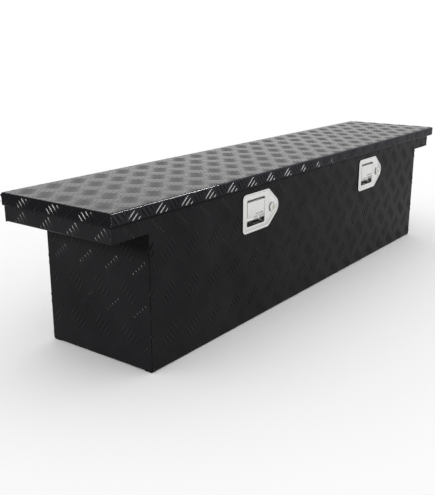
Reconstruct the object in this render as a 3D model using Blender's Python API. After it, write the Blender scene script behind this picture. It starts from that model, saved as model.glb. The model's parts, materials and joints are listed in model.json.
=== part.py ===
"""Truck tool box that sits across the bed rails, with one gull lid, two paddle latches and gas struts.

The box lies along X with its front at -Y, and stands on Z = 0. The origin is the bottom centre.
"""
import math

import bmesh
import bpy
from mathutils import Matrix, Vector

# Overall sizes, in metres
LID_LENGTH = 1.778        # over the lid's two end skirts
BOX_DEPTH = 0.356         # front skirt's outer face to the back panel's outer face
BOX_HEIGHT = 0.410        # underside of the tub to the top of the lid
SHEET = 0.002             # wall of the box and the lid
BEND = 0.005              # outer radius of a sheet bend
BEND_STEPS = 3
TIGHT_BEND = 0.004        # outer radius of the lid's folds and the strut brackets
GAP = 0.0003              # clearance between pieces that rest on each other
RUNNING_GAP = 0.0004      # radial clearance of a turning or sliding fit

# Tub and wings
FRONT_OVERHANG = 0.0155   # lid's front skirt stands this far ahead of the front panel
WING_INSET = 0.0107       # lid's end skirt stands this far outside the wing's end
TUB_INSET = 0.130         # lid's end skirt to the tub's end wall
LID_SETBACK = 0.006       # lid's rear edge stands this far ahead of the back panel
WING_HEIGHT = 0.072       # underside of a wing's ledge to the top of the lid
TURN_IN = 0.025           # front and back panels turn in under the floor
RIM_DROP = 0.012          # top of the rim to the top of the lid
RIM_WIDTH = 0.030         # front and ends
RIM_WIDTH_BACK = 0.042    # the rear rail also carries the hinge
RIM_LIP = 0.014           # turned-down inner edge of the rim

# Lid
SKIRT_HEIGHT = 0.031
SKIRT_RETURN = 0.007      # inward lip at the skirt's lower edge
BRACE_WIDTH = 0.060
BRACE_DEPTH = 0.016
BRACE_SHEET = 0.0015
BRACE_BEND = 0.0027
BRACE_CLEAR = 0.0125      # a brace's end to the rim's inner edge
BRACE_SPACING = 0.450
LID_OPENING = 75.0        # degrees

# Seal and hinge
SEAL_WIDTH = 0.011
SEAL_INSET = 0.010        # box wall to the seal, at the front and the ends
LEAF_SHEET = 0.0012
LEAF_WIDTH = 0.022
HINGE_MARGIN = 0.012      # wing's end to the hinge's end
KNUCKLES = 14
KNUCKLE_GAP = 0.0005
CURL = 200.0              # degrees of a knuckle that the leaf wraps round
PIN_CLEAR = 0.0005        # hinge pin in its knuckles

# Latches
LATCH_OFFSET = 0.338      # box centre to a latch's pocket
LATCH_DROP = 0.1036       # top of the lid to the pocket's centre
PLATE_HEIGHT = 0.1056
PLATE_BACK = 0.061        # pocket centre to the plate's square end
PLATE_NOSE = 0.110        # pocket centre to the plate's rounded nose
PLATE_SHOULDER = 0.060    # where the plate starts to taper
NOSE_RADIUS = 0.026
CORNER_RADIUS = 0.012
PLATE_SHEET = 0.0014
GASKET = 0.0012
POCKET_WIDTH = 0.085
POCKET_HEIGHT = 0.071
POCKET_DEPTH = 0.022
POCKET_RADIUS = 0.006
POCKET_DRAFT = 0.003      # the pocket's floor is smaller than its mouth by this much all round
CUTOUT_CLEAR = 0.002      # panel's cut-out round the pocket
PIVOT_DROP = 0.0085       # pocket's top edge to the paddle's pin
PIVOT_DEPTH = 0.0070      # plate's face to the paddle's pin
PADDLE_CLEAR = 0.0020     # each side of the paddle in the pocket
BARREL_CLEAR = 0.0055     # each side of the paddle's barrel in the pocket
PADDLE_TOP_GAP = 0.0060   # pocket's top edge to the paddle
PADDLE_HEIGHT = 0.0400    # below the pin's axis
PADDLE_SHEET = 0.0025
PADDLE_PIN_RADIUS = 0.0020
PADDLE_BARREL_RADIUS = 0.0038
TAIL_LENGTH = 0.030
TAIL_WIDTH = 0.008
TAIL_DEPTH = 0.0040
PADDLE_LIP = 0.004        # lower edge turned back behind the paddle
PADDLE_TRAVEL = 32.0      # degrees

# Hook behind each latch
HOOK_BACK = 0.056         # paddle's pin to the hook's pin, inwards
HOOK_DROP = 0.014         # paddle's pin to the hook's pin, down
HOOK_SHEET = 0.006
HOOK_PIN_RADIUS = 0.0025
HOOK_HUB_RADIUS = 0.0075
ARM_CLEAR = 0.0014        # paddle's tail to the hook's arm
ARM_OVERLAP = 0.005       # arm's end past the tail's end
ARM_DEPTH = 0.004         # height of the arm's blunt end
ARM_ROOT_DEPTH = 0.008
BEAK_REACH = 0.012        # above and below the striker's bar, and back from the beak's face
BEAK_CROWN = 0.014        # top of the beak above the striker's bar
BEAK_TOP_WIDTH = 0.008
SPRING_WIRE = 0.0012      # diameter
SPRING_RADIUS = 0.0048    # middle of the wire
SPRING_TURNS = 4
BRACKET_SHEET = 0.002
CHEEK_SPACING = 0.026     # inner faces of the bracket's cheeks
CHEEK_HEIGHT = 0.038
BRACKET_BEND = 0.0032
BRACKET_FOOT = 0.006      # bracket below the tail's slot
STRIKER_RADIUS = 0.0035
STRIKER_WIDTH = 0.024
STRIKER_DROP = 0.050      # lid's underside to the striker bar
STRIKER_CLEAR = 0.0008
STRIKER_BEND = 0.006
STRIKER_BASE = (0.044, 0.026, 0.0025)
STRIKER_SIDES = 10

# Lock
LOCK_OFFSET = 0.079       # pocket centre to the lock
LOCK_SINK = 0.0015        # lock's centre below the pocket's centre
LOCK_HEAD_RADIUS = 0.0140
LOCK_HEAD = 0.0035
LOCK_BARREL_RADIUS = 0.0095
LOCK_LENGTH = 0.030       # behind the plate
PLUG_RADIUS = 0.0075
CAM_LENGTH = 0.058
CAM_WIDTH = 0.012
CAM_SHEET = 0.002
NUT_FLATS = 0.026
NUT_HEIGHT = 0.005
CHAMFER = 0.001           # turned parts' broken edges, and the plug's face inside its housing
PLUG_TAIL_RADIUS = 0.0045
PLUG_TAIL_LENGTH = 0.005
KEY_SLOT_HALF = (0.0009, 0.0045)
KEY_SLOT_DEPTH = 0.012

# Gas struts
STRUT_INSET = 0.020       # tub's end wall to the strut's centre line
STRUT_FOOT_BACK = 0.085   # hinge pin to the foot stud, forwards
STRUT_FOOT_DROP = 0.232   # hinge pin to the foot stud, down
STRUT_HEAD_BACK = 0.105   # hinge pin to the head stud, forwards
STRUT_HEAD_DROP = 0.0190  # hinge pin to the head stud, down
STUD_RADIUS = 0.0040
EYE_RADIUS = 0.0080
EYE_WIDTH = 0.0080
TUBE_RADIUS = 0.0085
ROD_RADIUS = 0.0040
ROD_ENGAGED = 0.018       # rod left inside the tube when the lid is open
STRUT_PLATE = 0.036
STUD_HEAD = 0.002         # thickness of a stud's head
NECK = 0.012              # eye's edge to the gland end of the tube
SHOULDER = 0.008          # eye's edge to the tube's full width
BORE_SPARE = 0.006        # bore beyond the rod's end

# Derived stations
LID_HALF = LID_LENGTH / 2
WING_HALF = LID_HALF - WING_INSET
TUB_HALF = LID_HALF - TUB_INSET
LID_FRONT = -BOX_DEPTH / 2
FRONT_FACE = LID_FRONT + FRONT_OVERHANG
BACK_FACE = BOX_DEPTH / 2
LID_REAR = BACK_FACE - LID_SETBACK
LID_UNDER = BOX_HEIGHT - SHEET
RIM_TOP = BOX_HEIGHT - RIM_DROP
LEDGE = BOX_HEIGHT - WING_HEIGHT
WALL_TOP = RIM_TOP - SHEET - GAP
KNUCKLE_RADIUS = (LID_UNDER - RIM_TOP) / 2 - GAP
HINGE_Y = BACK_FACE - KNUCKLE_RADIUS
HINGE_Z = (LID_UNDER + RIM_TOP) / 2
LATCH_Z = BOX_HEIGHT - LATCH_DROP
PLATE_FACE = FRONT_FACE - GAP - GASKET - GAP - PLATE_SHEET
PIN_Y = PLATE_FACE + PIVOT_DEPTH
PIN_Z = LATCH_Z + POCKET_HEIGHT / 2 - PIVOT_DROP
HOOK_Y = PIN_Y + HOOK_BACK
HOOK_Z = PIN_Z - HOOK_DROP
STRIKER_Z = LID_UNDER - STRIKER_DROP
SIDES = (("left", -1), ("right", 1))


def finish(name, colour, metallic, roughness):
    """Return a plain Principled material."""
    material = bpy.data.materials.new(name)
    material.use_nodes = True
    shader = material.node_tree.nodes["Principled BSDF"]
    shader.inputs["Base Color"].default_value = (*colour, 1.0)
    shader.inputs["Metallic"].default_value = metallic
    shader.inputs["Roughness"].default_value = roughness
    material.diffuse_color = (*colour, 1.0)
    return material


def add_piece(name, mesh_data, material, location=(0, 0, 0), rotation=(0, 0, 0)):
    """Make a named object from a bmesh and link it to the scene."""
    bmesh.ops.recalc_face_normals(mesh_data, faces=mesh_data.faces)
    mesh = bpy.data.meshes.new(name)
    mesh_data.to_mesh(mesh)
    mesh_data.free()
    mesh.shade_smooth()
    mesh.set_sharp_from_angle(angle=math.radians(35))
    piece = bpy.data.objects.new(name, mesh)
    bpy.context.scene.collection.objects.link(piece)
    piece.location = location
    piece.rotation_euler = rotation
    if material is None:
        piece.hide_render = True
        piece.display_type = "WIRE"
    else:
        mesh.materials.append(material)
    return piece


def boolean(piece, other, operation):
    """Combine a hidden helper with a piece."""
    modifier = piece.modifiers.new(operation.title(), "BOOLEAN")
    modifier.operation = operation
    modifier.solver = "EXACT"
    modifier.object = other


def box_mesh(low, high):
    """A closed box between two corners."""
    mesh_data = bmesh.new()
    bmesh.ops.create_cube(mesh_data, size=1.0)
    size = [b - a for a, b in zip(low, high)]
    centre = [(a + b) / 2 for a, b in zip(low, high)]
    bmesh.ops.scale(mesh_data, vec=size, verts=mesh_data.verts)
    bmesh.ops.translate(mesh_data, vec=centre, verts=mesh_data.verts)
    return mesh_data


def helper_box(name, low, high):
    return add_piece(name, box_mesh(low, high), None)


def cylinder_mesh(radius, low, high, segments=20):
    """A closed cylinder along Z."""
    return turned_mesh([(0, low), (radius, low), (radius, high), (0, high)], segments)


def turned_mesh(profile, segments=24):
    """Turn a profile of (radius, z) points about Z. Points on the axis become poles."""
    mesh_data = bmesh.new()
    rings = []
    for radius, z in profile:
        if radius == 0:
            rings.append([mesh_data.verts.new((0, 0, z))])
            continue
        turns = [2 * math.pi * k / segments for k in range(segments)]
        rings.append([mesh_data.verts.new((radius * math.cos(a), radius * math.sin(a), z)) for a in turns])
    closed = profile[0][0] != 0
    pairs = list(zip(rings, rings[1:]))
    if closed:
        pairs.append((rings[-1], rings[0]))
    for first, second in pairs:
        for k in range(segments):
            after = (k + 1) % segments
            corners = [first[k % len(first)], first[after % len(first)],
                       second[after % len(second)], second[k % len(second)]]
            face = [v for i, v in enumerate(corners) if v not in corners[:i]]
            if len(face) > 2:
                mesh_data.faces.new(face)
    return mesh_data


def prism_mesh(outline, low, high, place):
    """Extrude a closed outline of (u, v) points from low to high; place turns (u, v, w) into a point."""
    mesh_data = bmesh.new()
    near = [mesh_data.verts.new(place(u, v, low)) for u, v in outline]
    far = [mesh_data.verts.new(place(u, v, high)) for u, v in outline]
    mesh_data.faces.new(near)
    mesh_data.faces.new(far)
    for k in range(len(outline)):
        after = (k + 1) % len(outline)
        mesh_data.faces.new((near[k], near[after], far[after], far[k]))
    return mesh_data


def across(u, v, w):
    """Outline in Y and Z, extruded along X."""
    return (w, u, v)


def deep(u, v, w):
    """Outline in X and Z, extruded along Y."""
    return (u, w, v)


def arc(centre, radius, start, stop, steps):
    """Points on an arc, angles in degrees."""
    turns = [math.radians(start + (stop - start) * k / steps) for k in range(steps + 1)]
    return [(centre[0] + radius * math.cos(a), centre[1] + radius * math.sin(a)) for a in turns]


def rounded_rectangle(width, height, radius, steps=4, centre=(0, 0)):
    """Outline of a rectangle with round corners, anticlockwise."""
    half_w, half_h = width / 2 - radius, height / 2 - radius
    outline = []
    for quarter, (sx, sy) in enumerate(((1, 1), (-1, 1), (-1, -1), (1, -1))):
        corner = (centre[0] + sx * half_w, centre[1] + sy * half_h)
        outline += arc(corner, radius, 90 * quarter, 90 * quarter + 90, steps)
    return outline


def bent_path(corners, radius=BEND, steps=BEND_STEPS):
    """Round a path's corners. Returns (point, left normal) pairs; straight-on points are kept."""
    points = [Vector(c) for c in corners]
    result = []
    for index, point in enumerate(points):
        before = (point - points[index - 1]).normalized() if index else None
        after = (points[index + 1] - point).normalized() if index + 1 < len(points) else None
        if before is None or after is None or before.cross(after) == 0 or before.angle(after) < 1e-4:
            along = after or before
            result.append((point, Vector((-along.y, along.x))))
            continue
        turn = before.angle(after)
        side = 1 if before.cross(after) > 0 else -1
        start = point - before * radius * math.tan(turn / 2)
        centre = start + Vector((-before.y, before.x)) * side * radius
        for k in range(steps + 1):
            angle = side * turn * k / steps
            spoke = Matrix.Rotation(angle, 2) @ (start - centre)
            result.append((centre + spoke, -spoke.normalized() * side))
    return result


def sheet_mesh(path, thickness, stations, place, removed=None, end_shift=None):
    """A bent sheet as cells along a path and across stations; cells whose centre is removed are left out.

    end_shift(u, v) moves the first and last station's points in by that much, for a mitre.
    """
    mesh_data = bmesh.new()
    rows, columns = len(path), len(stations)

    def point(i, j, side):
        outer, normal = path[i]
        u, v = outer + normal * thickness * side
        w = stations[j]
        if end_shift and j in (0, columns - 1):
            w += end_shift(u, v) * (1 if j == 0 else -1)
        return place(u, v, w)

    def kept(i, j):
        if not (0 <= i < rows - 1 and 0 <= j < columns - 1):
            return False
        middle = (path[i][0] + path[i + 1][0]) / 2
        return not (removed and removed(middle.x, middle.y, (stations[j] + stations[j + 1]) / 2))

    vertices = {}

    def vertex(i, j, side):
        if (i, j, side) not in vertices:
            vertices[i, j, side] = mesh_data.verts.new(point(i, j, side))
        return vertices[i, j, side]

    for i in range(rows - 1):
        for j in range(columns - 1):
            if not kept(i, j):
                continue
            for side in (0, 1):
                mesh_data.faces.new([vertex(i + a, j + b, side) for a, b in ((0, 0), (1, 0), (1, 1), (0, 1))])
            edges = {(i - 1, j): ((0, 0), (0, 1)), (i + 1, j): ((1, 0), (1, 1)),
                     (i, j - 1): ((0, 0), (1, 0)), (i, j + 1): ((0, 1), (1, 1))}
            for neighbour, ((a, b), (c, d)) in edges.items():
                if not kept(*neighbour):
                    mesh_data.faces.new((vertex(i + a, j + b, 0), vertex(i + c, j + d, 0),
                                         vertex(i + c, j + d, 1), vertex(i + a, j + b, 1)))
    return mesh_data


def inside(value, low, high):
    return low < value < high


def latch_centres():
    return [(name, side * LATCH_OFFSET) for name, side in SIDES]


def build_walls(paint):
    """Front, back, floor and the two stepped ends."""
    pocket_w = POCKET_WIDTH + 2 * (PLATE_SHEET + CUTOUT_CLEAR)
    pocket_h = POCKET_HEIGHT + 2 * (PLATE_SHEET + CUTOUT_CLEAR)
    lock_half = LOCK_BARREL_RADIUS + CUTOUT_CLEAR
    lock_z = LATCH_Z - LOCK_SINK
    holes = []
    for _, x in latch_centres():
        holes.append((x - pocket_w / 2, x + pocket_w / 2, LATCH_Z - pocket_h / 2, LATCH_Z + pocket_h / 2))
        holes.append((x + LOCK_OFFSET - lock_half, x + LOCK_OFFSET + lock_half,
                      lock_z - lock_half, lock_z + lock_half))

    def outside_t(y, z, x):
        return z < LEDGE and abs(x) > TUB_HALF

    def outside_front(y, z, x):
        return outside_t(y, z, x) or any(inside(x, a, b) and inside(z, c, d) for a, b, c, d in holes)

    heights = sorted({z for hole in holes for z in hole[2:]} | {LEDGE})
    stations = sorted({x for hole in holes for x in hole[:2]} | {-WING_HALF, -TUB_HALF, TUB_HALF, WING_HALF})
    front = [(FRONT_FACE + TURN_IN, 0), (FRONT_FACE, 0)]
    front += [(FRONT_FACE, z) for z in heights] + [(FRONT_FACE, WALL_TOP)]
    add_piece("front_panel", sheet_mesh(bent_path(front), -SHEET, stations, across, outside_front), paint)
    back = [(BACK_FACE - TURN_IN, 0), (BACK_FACE, 0), (BACK_FACE, LEDGE), (BACK_FACE, WALL_TOP)]
    stations = [-WING_HALF, -TUB_HALF, TUB_HALF, WING_HALF]
    add_piece("back_panel", sheet_mesh(bent_path(back), SHEET, stations, across, outside_t), paint)

    floor_z = SHEET + GAP
    end_x = TUB_HALF - SHEET - GAP
    floor = box_mesh((-end_x, FRONT_FACE + BEND, floor_z), (end_x, BACK_FACE - BEND, floor_z + SHEET))
    add_piece("floor_panel", floor, paint)

    near, far = FRONT_FACE + SHEET + GAP, BACK_FACE - SHEET - GAP

    def bend_notch(x, z, y):
        return z < BEND and not inside(y, near + BEND, far - BEND)

    for name, side in SIDES:
        step = [(TUB_HALF * side, floor_z), (TUB_HALF * side, BEND), (TUB_HALF * side, LEDGE),
                (WING_HALF * side, LEDGE), (WING_HALF * side, WALL_TOP)]
        depths = [near, near + BEND, far - BEND, far]
        add_piece(f"end_{name}", sheet_mesh(bent_path(step), SHEET * side, depths, deep, bend_notch), paint)


def build_rim(paint):
    """Four mitred rails round the opening, each a flange with a turned-down inner lip."""
    back_share = RIM_WIDTH_BACK / RIM_WIDTH
    top = RIM_TOP

    def rail(outer, width, inward):
        inner = outer + inward * width
        return bent_path([(outer, top), (inner, top), (inner, top - RIM_LIP)], BEND, 2)

    def mitre(outer, share):
        return lambda u, v: abs(u - outer) * share + GAP

    long_rails = (("front", FRONT_FACE, RIM_WIDTH, 1), ("back", BACK_FACE, RIM_WIDTH_BACK, -1))
    for name, outer, width, inward in long_rails:
        mesh = sheet_mesh(rail(outer, width, inward), -SHEET * inward, [-WING_HALF, WING_HALF], across,
                          end_shift=mitre(outer, RIM_WIDTH / width))
        add_piece(f"rim_{name}", mesh, paint)
    for name, side in SIDES:
        outer = WING_HALF * side
        path = rail(outer, RIM_WIDTH, -side)
        mesh = sheet_mesh(path, SHEET * side, [FRONT_FACE, BACK_FACE], deep)
        for vertex in mesh.verts:
            inset = abs(vertex.co.x - outer)
            if vertex.co.y < 0:
                vertex.co.y += inset + GAP
            else:
                vertex.co.y -= inset * back_share + GAP
        add_piece(f"rim_{name}", mesh, paint)


def build_seal(rubber):
    """Rubber strip between the rim and the lid."""
    outer = (WING_HALF - SEAL_INSET, FRONT_FACE + SEAL_INSET, BACK_FACE - RIM_WIDTH_BACK + GAP + SEAL_WIDTH)
    inner = (outer[0] - SEAL_WIDTH, outer[1] + SEAL_WIDTH, outer[2] - SEAL_WIDTH)
    loops = []
    mesh_data = bmesh.new()
    for half, front, back in (outer, inner):
        for z in (RIM_TOP + GAP, LID_UNDER - GAP):
            corners = ((-half, front), (half, front), (half, back), (-half, back))
            loops.append([mesh_data.verts.new((x, y, z)) for x, y in corners])
    low_out, high_out, low_in, high_in = loops
    for first, second in ((low_out, high_out), (high_out, high_in), (high_in, low_in), (low_in, low_out)):
        for k in range(4):
            after = (k + 1) % 4
            mesh_data.faces.new((first[k], first[after], second[after], second[k]))
    add_piece("weather_seal", mesh_data, rubber)


def build_hinge(steel):
    """Piano hinge: two rolled leaves whose knuckles alternate, on one long pin."""
    half = WING_HALF - HINGE_MARGIN
    pitch = 2 * half / KNUCKLES
    stations = []
    for k in range(KNUCKLES):
        stations += [-half + k * pitch + KNUCKLE_GAP / 2, -half + (k + 1) * pitch - KNUCKLE_GAP / 2]
    edge = HINGE_Y - KNUCKLE_RADIUS - RUNNING_GAP
    for parity, (name, z, flip) in enumerate((("hinge_leaf_box", RIM_TOP + GAP, 1),
                                              ("hinge_leaf_lid", LID_UNDER - GAP, -1))):
        curl = arc((HINGE_Y, HINGE_Z), KNUCKLE_RADIUS, -90 * flip, CURL * flip, 14)
        spokes = [(Vector(p), (Vector((HINGE_Y, HINGE_Z)) - Vector(p)).normalized()) for p in curl]
        up = Vector((0, flip))
        path = [(Vector((HINGE_Y - LEAF_WIDTH, z)), up), (Vector((edge, z)), up)] + spokes

        def removed(y, height, x, parity=parity):
            index, along = divmod(x + half, pitch)
            in_gap = not inside(along, KNUCKLE_GAP / 2, pitch - KNUCKLE_GAP / 2)
            return y > edge and (index % 2 != parity or in_gap)

        add_piece(name, sheet_mesh(path, LEAF_SHEET, stations, across, removed), steel)
    pin_radius = KNUCKLE_RADIUS - LEAF_SHEET - PIN_CLEAR
    pin = add_piece("hinge_pin", cylinder_mesh(pin_radius, -half, half, 12), steel)
    pin.location = (0, HINGE_Y, HINGE_Z)
    pin.rotation_euler = (0, math.pi / 2, 0)


def build_lid(paint, bare):
    """Lid pan with skirts on three sides, and its hat-section braces."""
    mesh_data = bmesh.new()
    low = BOX_HEIGHT - SKIRT_HEIGHT
    bmesh.ops.create_cube(mesh_data, size=1.0)
    for vertex in mesh_data.verts:
        vertex.co.x = math.copysign(LID_HALF, vertex.co.x)
        vertex.co.y = LID_FRONT if vertex.co.y < 0 else LID_REAR
        vertex.co.z = low if vertex.co.z < 0 else BOX_HEIGHT
    open_faces = [f for f in mesh_data.faces if f.normal.z < -0.5 or f.normal.y > 0.5]
    bmesh.ops.delete(mesh_data, geom=open_faces, context="FACES")
    lower = [e for e in mesh_data.edges if all(v.co.z < low + GAP for v in e.verts)]
    lip = bmesh.ops.extrude_edge_only(mesh_data, edges=lower)
    for vertex in (g for g in lip["geom"] if isinstance(g, bmesh.types.BMVert)):
        vertex.co.x -= math.copysign(SKIRT_RETURN, vertex.co.x)
        vertex.co.y += SKIRT_RETURN if vertex.co.y < 0 else 0
    sharp = [e for e in mesh_data.edges if len(e.link_faces) == 2 and e.calc_face_angle(0) > 0.5]
    folds = [e for e in sharp if abs(e.verts[0].co.z - e.verts[1].co.z) < GAP]
    bmesh.ops.bevel(mesh_data, geom=folds, offset=TIGHT_BEND, segments=BEND_STEPS, affect="EDGES", profile=0.5)
    pan = add_piece("lid_pan", mesh_data, paint)
    wall = pan.modifiers.new("Sheet", "SOLIDIFY")
    wall.thickness = SHEET
    wall.offset = -1.0
    wall.use_even_offset = True

    depth_front = FRONT_FACE + RIM_WIDTH + BRACE_CLEAR
    depth_back = BACK_FACE - RIM_WIDTH_BACK - BRACE_CLEAR
    top = LID_UNDER - GAP
    foot = BRACE_WIDTH / 2
    crown = foot - BRACE_DEPTH
    for name, x in (("left", -BRACE_SPACING), ("centre", 0.0), ("right", BRACE_SPACING)):
        hat = [(x - foot, top), (x - crown, top), (x - crown, top - BRACE_DEPTH),
               (x + crown, top - BRACE_DEPTH), (x + crown, top), (x + foot, top)]
        path = bent_path(hat, BRACE_BEND, 2)
        add_piece(f"lid_brace_{name}", sheet_mesh(path, -BRACE_SHEET, [depth_front, depth_back], deep), bare)


def plate_outline(x, grow=0.0):
    """Latch plate seen from the front: square end at the pocket, tapering to a round nose at the lock."""
    half = PLATE_HEIGHT / 2 + grow
    left = x - PLATE_BACK - grow
    radius = CORNER_RADIUS + grow
    nose = NOSE_RADIUS + grow
    nose_x = x + PLATE_NOSE - NOSE_RADIUS
    shoulder = Vector((x + PLATE_SHOULDER + grow * 0.4, half))
    reach = shoulder - Vector((nose_x, 0))
    tangent = math.degrees(math.atan2(reach.y, reach.x) - math.acos(nose / reach.length))
    outline = arc((nose_x, 0), nose, -tangent, tangent, 8)
    outline.append(tuple(shoulder))
    outline += arc((left + radius, half - radius), radius, 90, 180, 4)
    outline += arc((left + radius, radius - half), radius, 180, 270, 4)
    outline.append((shoulder.x, -half))
    return [(u, v + LATCH_Z) for u, v in outline]


def filled_loops(mesh_data, loops, y):
    """Fill between an outer loop and the holes in it, in a plane of constant Y. Returns each loop's edges."""
    all_edges = []
    for loop in loops:
        vertices = [mesh_data.verts.new((u, y, v)) for u, v in loop]
        all_edges.append([mesh_data.edges.new((a, b)) for a, b in zip(vertices, vertices[1:] + vertices[:1])])
    bmesh.ops.triangle_fill(mesh_data, use_beauty=True, edges=[e for edges in all_edges for e in edges])
    return all_edges


def build_latch(name, x, finishes):
    """One paddle latch with its lock, and the hook that holds the lid's striker."""
    stainless, rubber, zinc, brass = finishes
    lock_x, lock_z = x + LOCK_OFFSET, LATCH_Z - LOCK_SINK
    lock_hole = arc((lock_x, lock_z), LOCK_BARREL_RADIUS + GAP, 0, 360, 16)[:-1]
    pocket = rounded_rectangle(POCKET_WIDTH, POCKET_HEIGHT, POCKET_RADIUS, 4, (x, LATCH_Z))

    mesh_data = bmesh.new()
    _, mouth, _ = filled_loops(mesh_data, [plate_outline(x), pocket, lock_hole], PLATE_FACE)
    wall = bmesh.ops.extrude_edge_only(mesh_data, edges=mouth)
    base = [g for g in wall["geom"] if isinstance(g, bmesh.types.BMVert)]
    for vertex in base:
        vertex.co.y += POCKET_DEPTH
        vertex.co.x -= math.copysign(POCKET_DRAFT, vertex.co.x - x)
        vertex.co.z -= math.copysign(POCKET_DRAFT, vertex.co.z - LATCH_Z)
    base_edges = {e for v in base for e in v.link_edges if all(w in base for w in e.verts)}
    bmesh.ops.contextual_create(mesh_data, geom=list(base_edges))
    bmesh.ops.recalc_face_normals(mesh_data, faces=mesh_data.faces)
    if min(mesh_data.faces, key=lambda f: f.calc_center_median().y).normal.y > 0:
        bmesh.ops.reverse_faces(mesh_data, faces=mesh_data.faces)
    dish = bpy.data.meshes.new(f"latch_dish_{name}")
    mesh_data.to_mesh(dish)
    mesh_data.free()
    dish = bpy.data.objects.new(dish.name, dish)
    bpy.context.scene.collection.objects.link(dish)
    dish.data.materials.append(stainless)
    wall = dish.modifiers.new("Sheet", "SOLIDIFY")
    wall.thickness = PLATE_SHEET
    wall.offset = -1.0
    wall.use_even_offset = True
    slot_low = tail_low(POCKET_DEPTH + PLATE_SHEET)
    slot_high = PIN_Z + TAIL_DEPTH / 2 + CUTOUT_CLEAR
    slot_half = TAIL_WIDTH / 2 + CUTOUT_CLEAR
    back = PLATE_FACE + POCKET_DEPTH
    boolean(dish, helper_box(f"dish_slot_{name}", (x - slot_half, back - PLATE_SHEET, slot_low),
                             (x + slot_half, back + 2 * PLATE_SHEET, slot_high)), "DIFFERENCE")
    bore = cylinder_mesh(PADDLE_PIN_RADIUS + GAP, -POCKET_WIDTH, POCKET_WIDTH, 12)
    bore = add_piece(f"dish_bore_{name}", bore, None, (x, PIN_Y, PIN_Z), (0, math.pi / 2, 0))
    boolean(dish, bore, "DIFFERENCE")

    mesh_data = bmesh.new()
    hole = rounded_rectangle(POCKET_WIDTH + 2 * PLATE_SHEET + CUTOUT_CLEAR,
                             POCKET_HEIGHT + 2 * PLATE_SHEET + CUTOUT_CLEAR, POCKET_RADIUS, 3, (x, LATCH_Z))
    filled_loops(mesh_data, [plate_outline(x, -CUTOUT_CLEAR / 2), hole,
                             arc((lock_x, lock_z), LOCK_BARREL_RADIUS + CUTOUT_CLEAR, 0, 360, 12)[:-1]],
                 PLATE_FACE + PLATE_SHEET + GAP)
    for face in mesh_data.faces:
        if face.normal.y > 0:
            face.normal_flip()
    skin = mesh_data.faces[:]
    solid = bmesh.ops.extrude_face_region(mesh_data, geom=skin, use_keep_orig=True)
    for vertex in (g for g in solid["geom"] if isinstance(g, bmesh.types.BMVert)):
        vertex.co.y += GASKET
    add_piece(f"latch_gasket_{name}", mesh_data, rubber)

    build_paddle(name, x, stainless, zinc)
    build_hook(name, x, zinc)
    build_lock(name, lock_x, lock_z, (stainless, zinc, brass))


def tail_low(depth):
    """Lowest height a slot needs, this far behind the plate's face, for the tail to swing down in."""
    return PIN_Z - (depth - PIVOT_DEPTH) * math.tan(math.radians(PADDLE_TRAVEL)) - TAIL_DEPTH - CUTOUT_CLEAR


def build_paddle(name, x, stainless, zinc):
    """Paddle on its pin. Its tail reaches back through the dish to press the hook down."""
    half = POCKET_WIDTH / 2 - PADDLE_CLEAR
    pin_half = POCKET_WIDTH / 2 + PLATE_SHEET
    add_piece(f"paddle_pin_{name}", cylinder_mesh(PADDLE_PIN_RADIUS, -pin_half, pin_half, 12), zinc,
              (x, PIN_Y, PIN_Z), (0, math.pi / 2, 0))
    face = -PIVOT_DEPTH + GAP
    inner = face + PADDLE_SHEET
    top = PIVOT_DROP - PADDLE_TOP_GAP
    lip = inner + PADDLE_LIP
    foot = PADDLE_SHEET - PADDLE_HEIGHT
    outline = [(inner, top), (face, top), (face, foot)]
    outline += arc((inner, foot), PADDLE_SHEET, 180, 270, 3)[1:]
    outline += [(lip, -PADDLE_HEIGHT), (lip, foot), (inner, foot + PADDLE_SHEET / 2)]
    paddle = add_piece(f"paddle_{name}", prism_mesh(outline, -half, half, across), stainless, (x, PIN_Y, PIN_Z))
    barrel_half = POCKET_WIDTH / 2 - BARREL_CLEAR
    shoulder = PADDLE_BARREL_RADIUS * 0.6
    knuckle = arc((0, 0), PADDLE_BARREL_RADIUS, -150, 150, 12)
    knuckle += [(inner - GAP, shoulder), (inner - GAP, -shoulder * 2)]
    barrel = add_piece(f"paddle_barrel_{name}", prism_mesh(knuckle, -barrel_half, barrel_half, across), None,
                       (x, PIN_Y, PIN_Z))
    boolean(paddle, barrel, "UNION")
    tail = helper_box(f"paddle_tail_{name}", (-TAIL_WIDTH / 2, PADDLE_BARREL_RADIUS * 0.5, -TAIL_DEPTH / 2),
                      (TAIL_WIDTH / 2, TAIL_LENGTH, TAIL_DEPTH / 2))
    tail.location = (x, PIN_Y, PIN_Z)
    boolean(paddle, tail, "UNION")
    bore = cylinder_mesh(PADDLE_PIN_RADIUS + RUNNING_GAP, -pin_half, pin_half, 12)
    bore = add_piece(f"paddle_bore_{name}", bore, None, (x, PIN_Y, PIN_Z), (0, math.pi / 2, 0))
    boolean(paddle, bore, "DIFFERENCE")


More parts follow.
